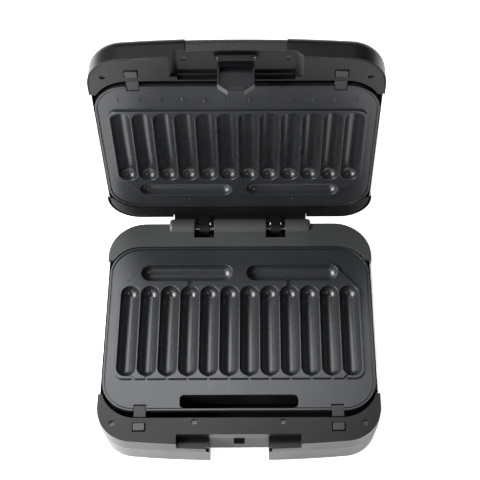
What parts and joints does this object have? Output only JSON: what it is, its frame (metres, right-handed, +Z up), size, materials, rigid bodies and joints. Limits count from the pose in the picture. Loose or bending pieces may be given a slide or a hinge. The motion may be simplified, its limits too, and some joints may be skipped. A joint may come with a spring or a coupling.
{
  "type": "stick donut maker",
  "caption": "Clamshell electric donut maker standing open, with long bar-shaped cavities in two removable plates, a front latch and sprung plate release buttons.",
  "frame": {"origin": "on the table, under the middle of the open appliance's bounding box", "axes": "+Z up, -Y towards the user, +X to the user's right; the lid hinges about an axis along +X at the rear"},
  "size_m": [0.2572, 0.2809, 0.2771],
  "materials": {
    "housing_plastic": "fine matte black",
    "cover_plastic": "satin grey-black",
    "grip_plastic": "pebbled black",
    "latch_plastic": "semi-gloss black",
    "button_plastic": "satin black",
    "nonstick_plate": "dark grey non-stick coating with a fine grain",
    "trim_metal": "satin",
    "sheet_steel": "plain pressed sheet",
    "element_steel": "heat-darkened sheath",
    "catch_steel": "blackened",
    "screw_steel": "dark zinc",
    "pin_steel": "bright",
    "switch_plastic": "ceramic-like off-white",
    "black_rubber": "matte",
    "red_lens": "translucent red",
    "green_lens": "translucent green"
  },
  "bodies": {
    "base": {"base_shell": "housing_plastic", "base_front_bezel": "housing_plastic", "base_rear_cover": "cover_plastic", "base_side_trims": "trim_metal", "lower_frame": "sheet_steel", "lower_plate": "nonstick_plate", "lower_heater": "element_steel", "lower_reflector": "sheet_steel", "lower_thermostat": "switch_plastic", "thermal_fuse": "element_steel", "terminal_block": "switch_plastic", "cord_gland": "black_rubber", "feet": "black_rubber", "base_screws": "screw_steel", "hinge_pins": "pin_steel", "latch_keeper": "catch_steel"},
    "lid": {"lid_shell": "housing_plastic", "lid_grip_panel": "grip_plastic", "lid_front_bezel": "housing_plastic", "lid_rear_bezel": "housing_plastic", "hinge_block": "housing_plastic", "lid_side_trims": "trim_metal", "upper_frame": "sheet_steel", "upper_plate": "nonstick_plate", "upper_heater": "element_steel", "upper_reflector": "sheet_steel", "upper_thermostat": "switch_plastic", "power_lamp": "red_lens", "ready_lamp": "green_lens", "lid_screws": "screw_steel", "latch_pin": "pin_steel"},
    "latch": {"latch": "latch_plastic"},
    "lower_left_button": {"lower_left_button": "button_plastic"},
    "lower_left_catch": {"lower_left_catch": "catch_steel"},
    "lower_right_button": {"lower_right_button": "button_plastic"},
    "lower_right_catch": {"lower_right_catch": "catch_steel"},
    "upper_left_button": {"upper_left_button": "button_plastic"},
    "upper_left_catch": {"upper_left_catch": "catch_steel"},
    "upper_right_button": {"upper_right_button": "button_plastic"},
    "upper_right_catch": {"upper_right_catch": "catch_steel"}
  },
  "joints": [
    {"name": "lid_hinge", "type": "hinge", "parent": "base", "child": "lid", "pos_m": [0, 0.09, 0.044], "axis": [1, 0, 0], "range_deg": [0, 93.5]},
    {"name": "latch_pivot", "type": "hinge", "parent": "lid", "child": "latch", "pos_m": [0, 0.1159, 0.27084], "axis": [-1, 0, 0], "range_deg": [-3.5, 60]},
    {"name": "lower_left_button_press", "type": "slide", "parent": "base", "child": "lower_left_button", "axis": [0, 0, -1], "range_m": [0, 0.003], "stiffness_N_per_m": 400, "springref_m": -0.002},
    {"name": "lower_left_catch_slide", "type": "slide", "parent": "base", "child": "lower_left_catch", "axis": [0, -1, 0], "range_m": [0, 0.005]},
    {"name": "lower_right_button_press", "type": "slide", "parent": "base", "child": "lower_right_button", "axis": [0, 0, -1], "range_m": [0, 0.003], "stiffness_N_per_m": 400, "springref_m": -0.002},
    {"name": "lower_right_catch_slide", "type": "slide", "parent": "base", "child": "lower_right_catch", "axis": [0, -1, 0], "range_m": [0, 0.005]},
    {"name": "upper_left_button_press", "type": "slide", "parent": "lid", "child": "upper_left_button", "axis": [0, 0.9981, -0.061], "range_m": [0, 0.003], "stiffness_N_per_m": 400, "springref_m": -0.002},
    {"name": "upper_left_catch_slide", "type": "slide", "parent": "lid", "child": "upper_left_catch", "axis": [0, 0.061, 0.9981], "range_m": [0, 0.005]},
    {"name": "upper_right_button_press", "type": "slide", "parent": "lid", "child": "upper_right_button", "axis": [0, 0.9981, -0.061], "range_m": [0, 0.003], "stiffness_N_per_m": 400, "springref_m": -0.002},
    {"name": "upper_right_catch_slide", "type": "slide", "parent": "lid", "child": "upper_right_catch", "axis": [0, 0.061, 0.9981], "range_m": [0, 0.005]}
  ],
  "couplings": [
    {"joint": "lower_left_catch_slide", "follows": "lower_left_button_press", "ratio": 1.6666},
    {"joint": "lower_right_catch_slide", "follows": "lower_right_button_press", "ratio": 1.6666},
    {"joint": "upper_left_catch_slide", "follows": "upper_left_button_press", "ratio": 1.6666},
    {"joint": "upper_right_catch_slide", "follows": "upper_right_button_press", "ratio": 1.6666}
  ]
}
